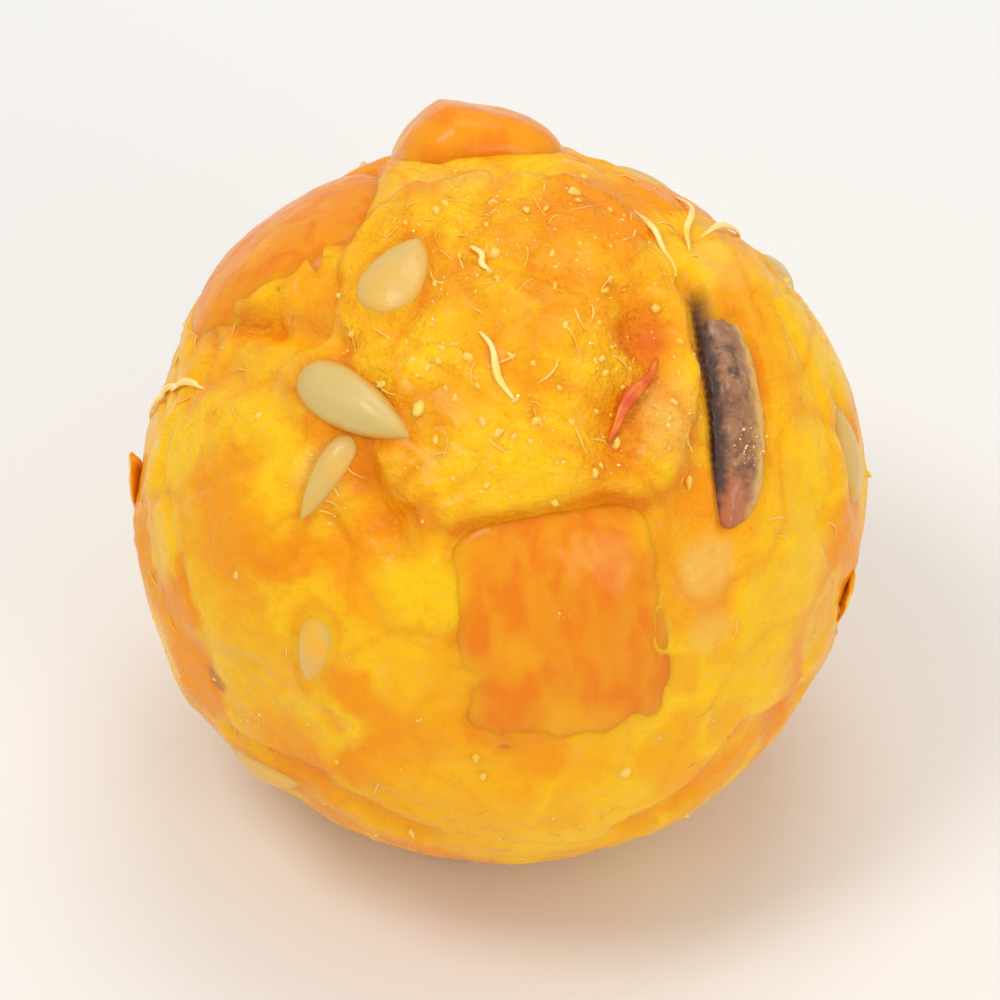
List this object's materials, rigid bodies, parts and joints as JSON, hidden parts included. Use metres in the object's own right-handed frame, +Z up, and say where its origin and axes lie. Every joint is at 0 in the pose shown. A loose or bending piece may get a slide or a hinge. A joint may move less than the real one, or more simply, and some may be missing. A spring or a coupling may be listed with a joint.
{
  "type": "mango ladoo",
  "caption": "Hand-pressed ball of mango paste and milk crumbs, with slabs of candied mango, strips of date, seed kernels and shreds pressed into its skin.",
  "frame": {"origin": "centre of the flat spot that the ball rests on", "axes": "+Z up; -Y towards the side that shows the front slab"},
  "size_m": [0.0455, 0.0446, 0.0429],
  "materials": {
    "mango_paste": "moist pressed mango paste, soft satin sheen",
    "candied_mango": "glossy translucent candied fruit",
    "date": "sticky wrinkled dried fruit"
  },
  "bodies": {
    "root": {"ladoo_ball": "mango_paste", "mango_slab_front": "candied_mango", "mango_slab_left": "candied_mango", "mango_slab_top": "candied_mango", "mango_slab_rear": "candied_mango", "mango_slab_side": "candied_mango", "date_strip_right": "date", "date_strip_rear": "date"}
  },
  "joints": []
}
